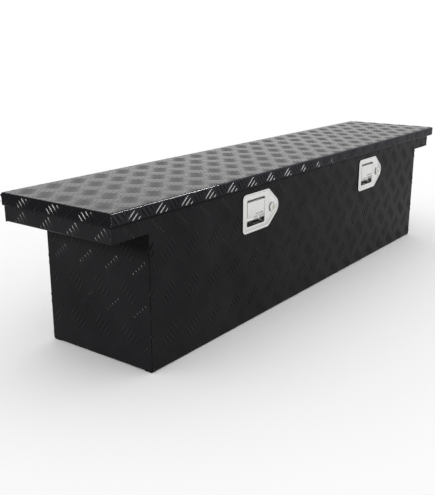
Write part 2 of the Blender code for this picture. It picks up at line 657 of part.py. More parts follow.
def hook_outline():
    """Hook in Y and Z about its own pin: a hub, an arm under the paddle's tail, and a beak at the top."""
    hub = HOOK_HUB_RADIUS
    top = STRIKER_Z - HOOK_Z
    bar = striker_y() - HOOK_Y
    tip = -STRIKER_RADIUS - STRIKER_CLEAR
    rise = STRIKER_RADIUS + STRIKER_CLEAR
    lean = (HINGE_Z - STRIKER_Z) / (HINGE_Y - striker_y())
    arm_top = HOOK_DROP - TAIL_DEPTH / 2 - ARM_CLEAR
    tail_end = TAIL_LENGTH - HOOK_BACK
    outline = arc((0, 0), hub, -150, 20, 8)
    face = bar + tip
    end = tail_end - ARM_OVERLAP
    outline += [(face - 0.001, top - BEAK_REACH), (face, top - rise),
                (face - lean * BEAK_REACH, top + BEAK_REACH), (face - BEAK_TOP_WIDTH, top + BEAK_CROWN),
                (face - BEAK_REACH, top - ARM_DEPTH), (-hub * 0.8, hub * 1.6),
                (tail_end + 0.012, arm_top - 0.002), (tail_end + ARM_OVERLAP, arm_top), (end, arm_top),
                (end - 0.001, arm_top - ARM_DEPTH), (tail_end + 0.006, arm_top - ARM_ROOT_DEPTH)]
    return outline


def striker_y():
    """The striker bar stands above the hook's pin."""
    return HOOK_Y + HOOK_HUB_RADIUS + STRIKER_RADIUS


def build_hook(name, x, zinc):
    """Hook, its pin, its spring and the U bracket that carries them behind the dish."""
    add_piece(f"latch_hook_{name}", prism_mesh(hook_outline(), -HOOK_SHEET / 2, HOOK_SHEET / 2, across), zinc,
              (x, HOOK_Y, HOOK_Z))
    hook = bpy.data.objects[f"latch_hook_{name}"]
    length = CHEEK_SPACING / 2 + BRACKET_SHEET + 2 * GAP
    build_spring(name, x, zinc)
    bore = cylinder_mesh(HOOK_PIN_RADIUS + RUNNING_GAP, -length, length, 12)
    bore = add_piece(f"hook_bore_{name}", bore, None, (x, HOOK_Y, HOOK_Z), (0, math.pi / 2, 0))
    boolean(hook, bore, "DIFFERENCE")
    add_piece(f"hook_pin_{name}", cylinder_mesh(HOOK_PIN_RADIUS, -length, length, 12), zinc,
              (x, HOOK_Y, HOOK_Z), (0, math.pi / 2, 0))

    web = PLATE_FACE + POCKET_DEPTH + PLATE_SHEET + GAP
    half = CHEEK_SPACING / 2 + BRACKET_SHEET
    reach = HOOK_Y + HOOK_HUB_RADIUS
    high = HOOK_Z + CHEEK_HEIGHT / 2
    slot_half = TAIL_WIDTH / 2 + CUTOUT_CLEAR
    channel = [(x + half, reach), (x + half, web), (x + slot_half, web), (x - slot_half, web),
               (x - half, web), (x - half, reach)]
    path = bent_path(channel, BRACKET_BEND, 2)
    slot_low = tail_low(web - PLATE_FACE + BRACKET_SHEET)

    def tail_slot(u, v, z):
        return inside(u, x - slot_half, x + slot_half) and z > slot_low

    levels = [slot_low - BRACKET_FOOT, slot_low, high]
    bracket = add_piece(f"hook_bracket_{name}", sheet_mesh(path, -BRACKET_SHEET, levels,
                                                           lambda u, v, w: (u, v, w), tail_slot), zinc)
    pin_hole = cylinder_mesh(HOOK_PIN_RADIUS + GAP, -2 * length, 2 * length, 12)
    pin_hole = add_piece(f"bracket_bore_{name}", pin_hole, None, (x, HOOK_Y, HOOK_Z), (0, math.pi / 2, 0))
    boolean(bracket, pin_hole, "DIFFERENCE")


def build_spring(name, x, steel):
    """Torsion spring round the hook's pin, with its two ends lying against the bracket and the hook."""
    pitch = SPRING_WIRE * 1.15
    start = HOOK_SHEET / 2 + SPRING_WIRE
    steps = 12
    points = []
    for k in range(SPRING_TURNS * steps + 1):
        angle = 2 * math.pi * k / steps
        around = (SPRING_RADIUS * math.sin(angle), SPRING_RADIUS * math.cos(angle))
        points.append((start + pitch * k / steps, *around))
    leg = SPRING_RADIUS * 1.2
    points.insert(0, (points[0][0], -leg, SPRING_RADIUS))
    points.append((points[-1][0], leg, SPRING_RADIUS))
    curve = bpy.data.curves.new(f"hook_spring_{name}", "CURVE")
    curve.dimensions = "3D"
    curve.bevel_depth = SPRING_WIRE / 2
    curve.bevel_resolution = 1
    curve.use_fill_caps = True
    curve.resolution_u = 1
    spline = curve.splines.new("POLY")
    spline.points.add(len(points) - 1)
    for target, point in zip(spline.points, points):
        target.co = (*point, 1)
    spring = bpy.data.objects.new(curve.name, curve)
    bpy.context.scene.collection.objects.link(spring)
    spring.location = (x, HOOK_Y, HOOK_Z)
    curve.materials.append(steel)


def build_lock(name, x, z, finishes):
    """Cylinder lock: housing through the plate, nut behind the panel, turning plug with its cam."""
    stainless, zinc, brass = finishes
    turn = (math.pi / 2, 0, 0)
    back = PLATE_FACE - GAP - LOCK_HEAD
    inner = PLUG_RADIUS + GAP
    length = LOCK_HEAD + LOCK_LENGTH
    housing = [(inner, 0), (LOCK_HEAD_RADIUS - CHAMFER, 0), (LOCK_HEAD_RADIUS, CHAMFER),
               (LOCK_HEAD_RADIUS, LOCK_HEAD), (LOCK_BARREL_RADIUS, LOCK_HEAD), (LOCK_BARREL_RADIUS, length), (inner, length)]
    profile = [(r, -d) for r, d in housing]
    add_piece(f"lock_housing_{name}", turned_mesh(profile, 24), stainless, (x, back, z), turn)
    shoulder = length + CHAMFER
    plug = [(0, CHAMFER), (PLUG_RADIUS, CHAMFER), (PLUG_RADIUS, shoulder), (PLUG_TAIL_RADIUS, shoulder),
            (PLUG_TAIL_RADIUS, shoulder + PLUG_TAIL_LENGTH), (0, shoulder + PLUG_TAIL_LENGTH)]
    plug = add_piece(f"lock_plug_{name}", turned_mesh([(r, -d) for r, d in plug], 20), brass, (x, back, z), turn)
    slot_x, slot_z = KEY_SLOT_HALF
    slot = helper_box(f"key_slot_{name}", (-slot_x, -CHAMFER, -slot_z), (slot_x, KEY_SLOT_DEPTH, slot_z))
    slot.location = (x, back, z)
    boolean(plug, slot, "DIFFERENCE")

    cam_y = back + shoulder + GAP
    half = CAM_WIDTH / 2
    outline = arc((0, 0), half, 0, 180, 8) + arc((0, -CAM_LENGTH + half), half, 180, 360, 6)
    cam = add_piece(f"lock_cam_{name}", prism_mesh(outline, 0, CAM_SHEET, deep), zinc, (x, cam_y, z))
    bore = add_piece(f"cam_bore_{name}", cylinder_mesh(PLUG_TAIL_RADIUS + GAP, -CAM_WIDTH, CAM_WIDTH, 16), None,
                     (x, cam_y, z), turn)
    boolean(cam, bore, "DIFFERENCE")
    nut_y = FRONT_FACE + SHEET + GAP
    corner = NUT_FLATS / math.sqrt(3)
    hexagon = arc((0, 0), corner, 0, 300, 5)
    nut = add_piece(f"lock_nut_{name}", prism_mesh(hexagon, 0, NUT_HEIGHT, deep), zinc, (x, nut_y, z))
    bore = cylinder_mesh(LOCK_BARREL_RADIUS + GAP, -2 * NUT_HEIGHT, 2 * NUT_HEIGHT, 20)
    bore = add_piece(f"nut_bore_{name}", bore, None, (x, nut_y, z), turn)
    boolean(nut, bore, "DIFFERENCE")


def build_striker(name, x, zinc):
    """Bent round bar hanging from a base plate under the lid."""
    top = LID_UNDER - GAP
    length, width, sheet = STRIKER_BASE
    base = helper_box(f"striker_base_{name}", (-length / 2, -width / 2, -sheet), (length / 2, width / 2, 0))
    base.location = (x, striker_y(), top)
    legs = STRIKER_WIDTH / 2
    rooted = -sheet / 2
    route = bent_path([(-legs, rooted), (-legs, STRIKER_Z - top), (legs, STRIKER_Z - top), (legs, rooted)],
                      STRIKER_BEND, 4)
    mesh_data = bmesh.new()
    rings = []
    for point, normal in route:
        ring = []
        for k in range(STRIKER_SIDES):
            angle = 2 * math.pi * k / STRIKER_SIDES
            offset = normal * STRIKER_RADIUS * math.cos(angle)
            depth = STRIKER_RADIUS * math.sin(angle)
            ring.append(mesh_data.verts.new((point.x + offset.x, depth, point.y + offset.y)))
        rings.append(ring)
    for first, second in zip(rings, rings[1:]):
        for k in range(STRIKER_SIDES):
            after = (k + 1) % STRIKER_SIDES
            mesh_data.faces.new((first[k], first[after], second[after], second[k]))
    mesh_data.faces.new(rings[0])
    mesh_data.faces.new(rings[-1])
    bar = add_piece(f"striker_{name}", mesh_data, zinc, (x, striker_y(), top))
    boolean(bar, base, "UNION")


def strut_points():
    """Foot and head studs in Y and Z, with the lid shut, and the head's place with it open."""
    foot = Vector((HINGE_Y - STRUT_FOOT_BACK, HINGE_Z - STRUT_FOOT_DROP))
    arm = Vector((-STRUT_HEAD_BACK, -STRUT_HEAD_DROP))
    hinge = Vector((HINGE_Y, HINGE_Z))
    opened = hinge + Matrix.Rotation(-math.radians(LID_OPENING), 2) @ arm
    return foot, hinge + arm, opened


def build_strut(name, side, finishes):
    """Gas strut between the tub's end wall and the lid, with a stud plate at each end."""
    black, chrome, zinc = finishes
    foot, head, opened = strut_points()
    closed_length = (head - foot).length
    stroke = (opened - foot).length - closed_length
    wall = (TUB_HALF - SHEET - GAP) * side
    centre = (TUB_HALF - SHEET - STRUT_INSET) * side
    outer_face = centre + side * EYE_WIDTH / 2
    to_side = (0, math.pi / 2 * side, 0)

    plate = helper_box(f"foot_plate_{name}", (-STRUT_PLATE / 2, -STRUT_PLATE / 2, -SHEET),
                       (STRUT_PLATE / 2, STRUT_PLATE / 2, 0))
    plate.location = (wall, foot.x, foot.y)
    plate.rotation_euler = to_side
    reach = abs(wall - centre) + EYE_WIDTH / 2 + GAP
    rooted, head_radius = -SHEET / 2, STUD_RADIUS * 1.5
    stud = [(0, rooted), (STUD_RADIUS, rooted), (STUD_RADIUS, -reach), (head_radius, -reach),
            (head_radius, -reach - STUD_HEAD), (0, -reach - STUD_HEAD)]
    bracket = add_piece(f"strut_foot_{name}", turned_mesh(stud, 16), zinc, (wall, foot.x, foot.y), to_side)
    boolean(bracket, plate, "UNION")

    lean = math.atan2(foot.x - head.x, head.y - foot.y)
    tube_end = closed_length - EYE_RADIUS - NECK
    bore_end = tube_end - stroke - ROD_ENGAGED - BORE_SPARE
    shell = [(0, bore_end), (ROD_RADIUS + RUNNING_GAP, bore_end), (ROD_RADIUS + RUNNING_GAP, tube_end),
             (TUBE_RADIUS - CHAMFER, tube_end), (TUBE_RADIUS, tube_end - CHAMFER),
             (TUBE_RADIUS, EYE_RADIUS + SHOULDER), (TUBE_RADIUS * 0.5, EYE_RADIUS + SHOULDER / 2),
             (TUBE_RADIUS * 0.5, EYE_RADIUS * 0.6), (0, EYE_RADIUS * 0.6)]
    tube = add_piece(f"strut_tube_{name}", turned_mesh(shell, 20), black, (centre, foot.x, foot.y), (lean, 0, 0))
    eye = add_piece(f"tube_eye_{name}", cylinder_mesh(EYE_RADIUS, -EYE_WIDTH / 2, EYE_WIDTH / 2, 20), None,
                    (centre, foot.x, foot.y), to_side)
    boolean(tube, eye, "UNION")
    bore = cylinder_mesh(STUD_RADIUS + RUNNING_GAP, -EYE_WIDTH, EYE_WIDTH, 16)
    bore = add_piece(f"eye_bore_{name}", bore, None, (centre, foot.x, foot.y), to_side)
    boolean(tube, bore, "DIFFERENCE")

    rod_start = bore_end + BORE_SPARE / 2 - closed_length
    rod = [(0, rod_start), (ROD_RADIUS, rod_start), (ROD_RADIUS, -EYE_RADIUS * 0.5), (0, -EYE_RADIUS * 0.5)]
    rod = add_piece(f"strut_rod_{name}", turned_mesh(rod, 14), chrome, (centre, head.x, head.y), (lean, 0, 0))
    socket = add_piece(f"rod_socket_{name}", cylinder_mesh(EYE_RADIUS, -EYE_WIDTH / 2, EYE_WIDTH / 2, 20), None,
                       (centre, head.x, head.y), to_side)
    boolean(rod, socket, "UNION")

    top = LID_UNDER - GAP
    hang = HINGE_Z - STRUT_HEAD_DROP - EYE_RADIUS
    web = wall
    angle = [(web - side * STRUT_PLATE * 0.6, top), (web, top), (web, hang)]
    path = bent_path(angle, TIGHT_BEND, 2)
    half = STRUT_PLATE / 2
    mesh_data = sheet_mesh(path, -SHEET * side, [head.x - half, head.x + half], deep)
    plate = add_piece(f"strut_head_{name}", mesh_data, zinc)
    length = abs(web - outer_face) - SHEET / 2 - GAP * 2
    pin = add_piece(f"head_pin_{name}", cylinder_mesh(STUD_RADIUS, -length - SHEET / 2, -SHEET / 2, 16), None,
                    (web, head.x, head.y), to_side)
    boolean(plate, pin, "UNION")


def report_motion():
    """Print the joints' places and the strut's ratios, for whoever writes the motion down."""
    foot, head, opened = strut_points()
    closed, spread = head - foot, opened - foot
    turn = math.radians(LID_OPENING)
    swing = closed.angle_signed(spread)
    print("hinge", HINGE_Y, HINGE_Z)
    print("strut foot", tuple(foot), "head", tuple(head), "direction", tuple(closed.normalized()))
    stroke = spread.length - closed.length
    print("strut ratios", swing / turn, stroke / turn, "stroke", stroke)
    print("paddle pin", PIN_Y, PIN_Z, "hook pin", HOOK_Y, HOOK_Z, "lock", LOCK_OFFSET, LATCH_Z - LOCK_SINK)


def build():
    for leftover in list(bpy.data.objects):
        bpy.data.objects.remove(leftover)
    paint = finish("black_powder_coat", (0.02, 0.02, 0.02), 0.0, 0.35)
    bare = finish("mill_aluminium", (0.72, 0.73, 0.74), 1.0, 0.35)
    stainless = finish("polished_stainless", (0.80, 0.80, 0.80), 1.0, 0.15)
    zinc = finish("zinc_plate", (0.62, 0.63, 0.65), 1.0, 0.35)
    brass = finish("nickel_brass", (0.70, 0.68, 0.62), 1.0, 0.25)
    rubber = finish("seal_rubber", (0.03, 0.03, 0.03), 0.0, 0.80)
    black = finish("strut_black", (0.02, 0.02, 0.02), 0.0, 0.30)
    chrome = finish("hard_chrome", (0.85, 0.85, 0.86), 1.0, 0.08)
    build_walls(paint)
    build_rim(paint)
    build_seal(rubber)
    build_hinge(zinc)
    build_lid(paint, bare)
    for name, x in latch_centres():
        build_latch(name, x, (stainless, rubber, zinc, brass))
        build_striker(name, x, zinc)
    for name, side in SIDES:
        build_strut(name, side, (black, chrome, zinc))
    report_motion()


build()
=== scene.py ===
import json
import math
import random
import bpy
from mathutils import Matrix, Vector

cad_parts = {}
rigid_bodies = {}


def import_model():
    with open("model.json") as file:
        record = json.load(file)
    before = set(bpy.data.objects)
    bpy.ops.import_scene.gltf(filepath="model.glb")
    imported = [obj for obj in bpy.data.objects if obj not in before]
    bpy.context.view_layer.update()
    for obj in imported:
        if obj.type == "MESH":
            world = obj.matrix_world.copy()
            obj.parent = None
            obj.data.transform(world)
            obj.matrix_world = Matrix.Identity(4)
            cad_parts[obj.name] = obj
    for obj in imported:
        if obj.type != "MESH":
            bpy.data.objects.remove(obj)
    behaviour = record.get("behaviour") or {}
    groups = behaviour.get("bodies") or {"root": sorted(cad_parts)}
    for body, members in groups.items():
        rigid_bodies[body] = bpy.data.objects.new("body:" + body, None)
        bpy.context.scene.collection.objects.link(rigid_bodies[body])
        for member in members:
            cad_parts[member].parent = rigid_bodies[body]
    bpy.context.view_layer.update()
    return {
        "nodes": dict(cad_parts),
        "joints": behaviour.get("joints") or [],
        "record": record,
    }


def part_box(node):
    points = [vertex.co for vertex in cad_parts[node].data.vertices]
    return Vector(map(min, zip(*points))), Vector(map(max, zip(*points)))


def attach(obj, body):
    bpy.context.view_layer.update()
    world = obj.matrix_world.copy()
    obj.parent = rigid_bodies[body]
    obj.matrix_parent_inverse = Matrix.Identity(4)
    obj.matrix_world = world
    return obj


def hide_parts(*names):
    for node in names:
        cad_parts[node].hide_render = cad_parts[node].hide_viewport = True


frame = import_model()
joints = {joint["name"]: joint for joint in frame["joints"]}
sides = {"left": -1, "right": 1}
near = 1e-5  # points closer than this count as one, in metres
through = 0.02  # how far a cutter reaches past a sheet
print("frame loaded:", len(frame["nodes"]), "nodes")


# small helpers for modelling by hand

def clearSelection():
    if bpy.context.object and bpy.context.object.mode != "OBJECT":
        bpy.ops.object.mode_set(mode="OBJECT")
    bpy.ops.object.select_all(action="DESELECT")


def takeUp(*pieces):  # the last one is active
    clearSelection()
    for piece in pieces:
        piece.select_set(True)
    bpy.context.view_layer.objects.active = pieces[-1]


def startEdit(piece, kind):
    takeUp(piece)
    bpy.ops.object.mode_set(mode="EDIT")
    bpy.ops.mesh.select_mode(type=kind)
    bpy.ops.mesh.select_all(action="DESELECT")
    bpy.ops.object.mode_set(mode="OBJECT")


def pickFaces(piece, test):  # test(centre, normal); stays in edit mode
    startEdit(piece, "FACE")
    for face in piece.data.polygons:
        face.select = test(face.center, face.normal)
    bpy.ops.object.mode_set(mode="EDIT")


def pickEdges(piece, test):  # test(one end, other end); stays in edit mode
    startEdit(piece, "EDGE")
    points = piece.data.vertices
    for edge in piece.data.edges:
        a, b = (points[i].co for i in edge.vertices)
        edge.select = test(a, b)
    bpy.ops.object.mode_set(mode="EDIT")


def leaveEdit():
    bpy.ops.object.mode_set(mode="OBJECT")


def setPlace(piece):  # puts the place into the mesh
    takeUp(piece)
    bpy.ops.object.transform_apply(location=True, rotation=True, scale=True)


def block(low, high):
    clearSelection()
    centre = [(a + b) / 2 for a, b in zip(low, high)]
    bpy.ops.mesh.primitive_cube_add(size=1, location=centre)
    piece = bpy.context.object
    piece.scale = [b - a for a, b in zip(low, high)]
    setPlace(piece)
    return piece


def rod(radius, length, centre, axis, steps=24):
    turns = {"X": (0, math.pi / 2, 0), "Y": (math.pi / 2, 0, 0)}
    clearSelection()
    bpy.ops.mesh.primitive_cylinder_add(vertices=steps, radius=radius, depth=length, location=centre,
                                        rotation=turns[axis])
    piece = bpy.context.object
    setPlace(piece)
    return piece


def copyPiece(piece):
    twin = piece.copy()
    twin.data = piece.data.copy()
    bpy.context.scene.collection.objects.link(twin)
    return twin


def copyNode(node):  # a CAD node's shape as an ordinary merged mesh
    piece = bpy.data.objects.new(node, frame["nodes"][node].data.copy())
    bpy.context.scene.collection.objects.link(piece)
    piece.data.materials.clear()
    takeUp(piece)
    bpy.ops.object.mode_set(mode="EDIT")
    bpy.ops.mesh.select_all(action="SELECT")
    bpy.ops.mesh.remove_doubles(threshold=0.00001)
    bpy.ops.mesh.dissolve_limited(angle_limit=math.radians(0.5))
    leaveEdit()
    return piece


def joinPieces(pieces):
    takeUp(*pieces)
    bpy.ops.object.join()
    return bpy.context.object


def addModifier(piece, kind, **settings):
    takeUp(piece)
    modifier = piece.modifiers.new(kind.title(), kind)
    for key, value in settings.items():
        setattr(modifier, key, value)
    bpy.ops.object.modifier_apply(modifier=modifier.name)


def repeat(piece, count, step):
    addModifier(piece, "ARRAY", count=count, use_relative_offset=False, use_constant_offset=True,
                constant_offset_displace=step)


def combine(piece, other, operation):  # the other piece is used up
    addModifier(piece, "BOOLEAN", object=other, operation=operation, solver="EXACT")
    bpy.data.objects.remove(other)


def softenEdges(piece, width, steps=2, angle=40):
    addModifier(piece, "BEVEL", width=width, segments=steps, limit_method="ANGLE",
                angle_limit=math.radians(angle))


def finishPiece(piece, name, body, material, replaced=(), smooth=35):
    takeUp(piece)
    bpy.ops.object.shade_smooth_by_angle(angle=math.radians(smooth))
    piece.name = name
    piece.data.name = name
    piece.data.materials.clear()
    piece.data.materials.append(material)
    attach(piece, body)
    if replaced:
        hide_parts(*replaced)


# materials: sizes of patterns are in metres

def hexColour(code):  # sRGB hex to linear
    parts = [int(code[i:i + 2], 16) / 255 for i in (1, 3, 5)]
    return (*[c / 12.92 if c <= 0.04045 else ((c + 0.055) / 1.055) ** 2.4 for c in parts], 1)


def addNode(tree, kind, settings=None, values=None, links=None):  # sockets by name or number
    node = tree.nodes.new("ShaderNode" + kind)
    for key, value in (settings or {}).items():
        setattr(node, key, value)
    for key, value in (values or {}).items():
        node.inputs[key].default_value = value
    for key, socket in (links or {}).items():
        tree.links.new(socket, node.inputs[key])
    return node


def newMaterial(name, values):
    material = bpy.data.materials.new(name)
    material.use_nodes = True
    tree = material.node_tree
    shader = tree.nodes["Principled BSDF"]
    for key, value in values.items():
        shader.inputs[key].default_value = value
    return material, tree, shader, addNode(tree, "TexCoord").outputs["Object"]


def makeUneven(tree, shader, pattern, finish):  # lets a pattern move the colour and the roughness
    fac = pattern.outputs["Fac"]
    rough = addNode(tree, "MapRange", {}, {
        "From Min": 0.3, "From Max": 0.7, "To Min": finish["roughness"] - finish["uneven"],
        "To Max": finish["roughness"] + finish["uneven"]}, {"Value": fac})
    share = addNode(tree, "MapRange", {}, {"From Min": 0.3, "From Max": 0.7}, {"Value": fac})
    colour = addNode(tree, "Mix", {"data_type": "RGBA"}, {
        6: hexColour(finish["colour"]), 7: hexColour(finish["paler"])}, {0: share.outputs["Result"]})
    tree.links.new(rough.outputs["Result"], shader.inputs["Roughness"])
    tree.links.new(colour.outputs[2], shader.inputs["Base Color"])


def powderCoat(name, finish):  # polyester powder, sprayed dry and baked, with a fine orange peel
    material, tree, shader, place = newMaterial(name, {
        "Base Color": hexColour(finish["colour"]), "Roughness": finish["roughness"],
        "Specular IOR Level": finish["gloss"], "IOR": 1.5})
    peel = addNode(tree, "TexNoise", {}, {
        "Scale": 1 / finish["peel"], "Detail": 1.0, "Roughness": 0.55}, {"Vector": place})
    patches = addNode(tree, "TexNoise", {}, {
        "Scale": 1 / finish["patches"], "Detail": 2.0, "Roughness": 0.55}, {"Vector": place})
    makeUneven(tree, shader, patches, finish)
    bump = addNode(tree, "Bump", {}, {"Distance": finish["peelDepth"], "Strength": 1.0},
                   {"Height": peel.outputs["Fac"]})
    tree.links.new(bump.outputs["Normal"], shader.inputs["Normal"])
    return material


def metal(name, finish):
    material, tree, shader, place = newMaterial(name, {
        "Base Color": hexColour(finish["colour"]), "Metallic": 1.0, "Roughness": finish["roughness"]})
    mapping = addNode(tree, "Mapping", {}, {"Scale": finish.get("stretch", (1, 1, 1))}, {"Vector": place})
    streaks = addNode(tree, "TexNoise", {}, {
        "Scale": 1 / finish["size"], "Detail": 3.0, "Roughness": 0.55}, {"Vector": mapping.outputs["Vector"]})
    makeUneven(tree, shader, streaks, finish)
    if "depth" in finish:
        bump = addNode(tree, "Bump", {}, {"Distance": finish["depth"], "Strength": 1.0},
                       {"Height": streaks.outputs["Fac"]})
        tree.links.new(bump.outputs["Normal"], shader.inputs["Normal"])
    return material


# a darker, glossier copy of the box's black coat: its deeper colour is painted shade for the lid's skirts,
# and its bars catch sharp white glints from the lamps
lidCoat = powderCoat("gloss_black_powder_coat", {
    "colour": "#030304", "paler": "#060607", "roughness": 0.11, "uneven": 0.015, "gloss": 0.03,
    "peel": 0.0025, "peelDepth": 0.00002, "patches": 0.12})
# the lid's flat top: the same black coat painted grey, a painted sheen that stands in for the bright
# reflection the top catches, so that it reads paler than the sides
topCoat = powderCoat("hazed_black_powder_coat", {
    "colour": "#3d3d3d", "paler": "#434343", "roughness": 0.20, "uneven": 0.02, "gloss": 0.12,
    "peel": 0.0025, "peelDepth": 0.00001, "patches": 0.12})
# even, quiet black that only shows its tread where a lamp grazes it
boxCoat = powderCoat("satin_black_powder_coat", {
    "colour": "#0a0a0b", "paler": "#0e0e0f", "roughness": 0.17, "uneven": 0.02, "gloss": 0.025,
    "peel": 0.0025, "peelDepth": 0.00002, "patches": 0.12})
# bright rolled sheet: nearly a mirror, with faint clouds 12 mm wide
stainless = metal("polished_stainless_steel", {
    "colour": "#cfcfcd", "paler": "#dadad9", "roughness": 0.14, "uneven": 0.03, "size": 0.012})
# upright hairlines that pull reflections sideways; real ones are under 0.2 mm, drawn at 1.2 mm to show
brushedStainless = metal("brushed_stainless_steel", {
    "colour": "#cdcdcc", "paler": "#dcdcdb", "roughness": 0.22, "uneven": 0.05, "size": 0.0012,
    "stretch": (1, 1, 0.05), "depth": 0.000004})
# cool grey plating with soft 6 mm patches, duller than the stainless
zincPlate = metal("bright_zinc_plate", {
    "colour": "#a9adb3", "paler": "#c6c9cc", "roughness": 0.32, "uneven": 0.08, "size": 0.006})
# pale rolling lines along the sheet; real ones are finer, drawn at 1.5 mm to show
millAluminium = metal("mill_finish_aluminium", {
    "colour": "#b9bcbf", "paler": "#cfd1d3", "roughness": 0.34, "uneven": 0.06, "size": 0.0015,
    "stretch": (1, 0.04, 1), "depth": 0.000006})
# slightly warm and soft-edged, so that lock parts stand off from the plate
nickelPlate = metal("nickel_plated_brass", {
    "colour": "#c2bdb2", "paler": "#d4cfc6", "roughness": 0.20, "uneven": 0.05, "size": 0.004})
# ground and polished: a clean mirror line down the rod
hardChrome = metal("hard_chromed_rod", {
    "colour": "#d5d8db", "paler": "#e4e6e8", "roughness": 0.07, "uneven": 0.02, "size": 0.01})


def rubber(finish):  # extruded sponge: no gloss, and a skin of 1.2 mm cells that breaks up the light
    material, tree, shader, place = newMaterial("epdm_sponge_rubber", {
        "Base Color": hexColour(finish["colour"]), "Roughness": finish["roughness"],
        "Specular IOR Level": finish["gloss"]})
    cells = addNode(tree, "TexNoise", {}, {
        "Scale": 1 / finish["cell"], "Detail": 2.0, "Roughness": 0.55}, {"Vector": place})
    bump = addNode(tree, "Bump", {}, {"Distance": finish["depth"], "Strength": 1.0},
                   {"Height": cells.outputs["Fac"]})
    tree.links.new(bump.outputs["Normal"], shader.inputs["Normal"])
    return material


def cylinderPaint(finish):  # wet-sprayed enamel on drawn tube: one soft highlight along the cylinder
    material, tree, shader, place = newMaterial("satin_black_cylinder_paint", {
        "Base Color": hexColour(finish["colour"]), "Roughness": finish["roughest"],
        "Specular IOR Level": finish["gloss"]})
    drift = addNode(tree, "TexNoise", {}, {
        "Scale": 1 / finish["drift"], "Detail": 2.0, "Roughness": 0.55}, {"Vector": place})
    rough = addNode(tree, "MapRange", {}, {
        "From Min": 0.3, "From Max": 0.7, "To Min": finish["smoothest"], "To Max": finish["roughest"]},
        {"Value": drift.outputs["Fac"]})
    tree.links.new(rough.outputs["Result"], shader.inputs["Roughness"])
    return material


sealRubber = rubber({"colour": "#141415", "roughness": 0.78, "gloss": 0.35, "cell": 0.0012, "depth": 0.00006})
strutPaint = cylinderPaint({"colour": "#0c0c0d", "gloss": 0.4, "drift": 0.02, "smoothest": 0.26,
                            "roughest": 0.34})
print("materials ready")

# tread plate: pressed bars in groups of five, in two leaning families

treadBar = {"length": 0.041, "width": 0.0058, "height": 0.0015, "sunk": 0.0002, "crown": 0.0009,
            "crownStart": 0.3, "spacing": 0.0117, "inGroup": 5}


def makeBar():  # a low pointed ridge with a rounded crown
    clearSelection()
    bpy.ops.mesh.primitive_uv_sphere_add(segments=4, ring_count=8, radius=1, rotation=(0, math.pi / 2, 0))
    bar = bpy.context.object
    setPlace(bar)
    bar.scale = (treadBar["length"] / 2, treadBar["width"] / 2, treadBar["height"])
    setPlace(bar)
    pickFaces(bar, lambda centre, normal: True)
    bpy.ops.mesh.bisect(plane_co=(0, 0, -treadBar["sunk"]), plane_no=(0, 0, 1), use_fill=True,
                        clear_inner=True)
    leaveEdit()
    crownStart = treadBar["height"] * treadBar["crownStart"]
    pickEdges(bar, lambda a, b: max(abs(a.y), abs(b.y)) < near and min(a.z, b.z) > crownStart)
    bpy.ops.mesh.bevel(offset=treadBar["crown"], segments=2, affect="EDGES")
    leaveEdit()
    return bar


def makeCell(families, pitch):  # one group of each family, in the plane of X and Y
    bar = makeBar()
    pieces = []
    middle = (treadBar["inGroup"] - 1) / 2
    for number, (lean, march) in enumerate(families):
        for k in range(treadBar["inGroup"]):
            step = (k - middle) * treadBar["spacing"]
            twin = copyPiece(bar)
            twin.rotation_euler = (0, 0, math.radians(lean))
            twin.location = (step * math.cos(math.radians(march)) + number * pitch[0] / 2,
                             step * math.sin(math.radians(march)) + number * pitch[1] / 2, 0)
            setPlace(twin)
            pieces.append(twin)
    bpy.data.objects.remove(bar)
    return joinPieces(pieces)


# a rectangle of tread from low to high along the sheet's own two directions, seen from outside
def layTread(tread, low, high, across, up, corner):
    pitch, first = tread["pitch"], tread["first"]
    cell = makeCell(tread["families"], pitch)
    start, counts = [], []
    for k in (0, 1):
        before = math.ceil((first[k] - low[k]) / pitch[k]) + 1
        start.append(first[k] - before * pitch[k])
        counts.append(math.ceil((high[k] - start[k]) / pitch[k]) + 1)
    cell.location = (start[0], start[1], 0)
    cell.scale = (1, 1, tread["relief"])
    setPlace(cell)
    for k in (0, 1):
        step = [0, 0, 0]
        step[k] = pitch[k]
        repeat(cell, counts[k], step)
    for k in (0, 1):
        for limit, sign in ((low[k], -1), (high[k], 1)):
            point, normal = [0, 0, 0], [0, 0, 0]
            point[k], normal[k] = limit, sign
            pickFaces(cell, lambda centre, facing: True)
            bpy.ops.mesh.bisect(plane_co=point, plane_no=normal, use_fill=True, clear_outer=True)
            leaveEdit()
    across, up = Vector(across), Vector(up)
    turn = Matrix((across, up, across.cross(up))).transposed().to_4x4()
    cell.matrix_world = Matrix.Translation(corner) @ turn
    setPlace(cell)
    return cell


# each family's lean and the direction in which its group marches; first is one group's centre
boxLean, lidLean = ((55, -42), (-55, 42)), ((40, -46), (-52, 40))
treads = {
    "wall": {"families": boxLean, "pitch": (0.0873, 0.104), "first": (-0.650, 0.230), "relief": 1},
    "end": {"families": boxLean, "pitch": (0.0875, 0.105), "first": (-0.0806, 0.2888), "relief": 1},
    "lidTop": {"families": lidLean, "pitch": (0.0785, 0.062), "first": (-0.729, -0.0236), "relief": 0.65},
    "lidFront": {"families": lidLean, "pitch": (0.0885, 0.062), "first": (-0.8124, 0.3766), "relief": 1},
    "lidLeft": {"families": lidLean, "pitch": (0.103, 0.062), "first": (0.0605, 0.427), "relief": 1},
    "lidRight": {"families": lidLean, "pitch": (0.103, 0.062), "first": (-0.0605, 0.427), "relief": 1},
}
fold = {"sheet": 0.0023, "radius": 0.005}  # the sheet with its gap, and a fold's outer radius
latch = {"offset": 0.338, "z": 0.3064, "bareBack": 0.055, "bareNose": 0.102, "bareHalf": 0.045,
         "face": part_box("latch_dish_left")[0].y, "pinY": joints["paddle_left_pull"]["pos_m"][1],
         "pinZ": joints["paddle_left_pull"]["pos_m"][2]}
lidLow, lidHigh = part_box("lid_pan")
ledge = frame["record"]["mounts"][0]["pos_m"][2]
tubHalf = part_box("floor_panel")[1].x + fold["sheet"]


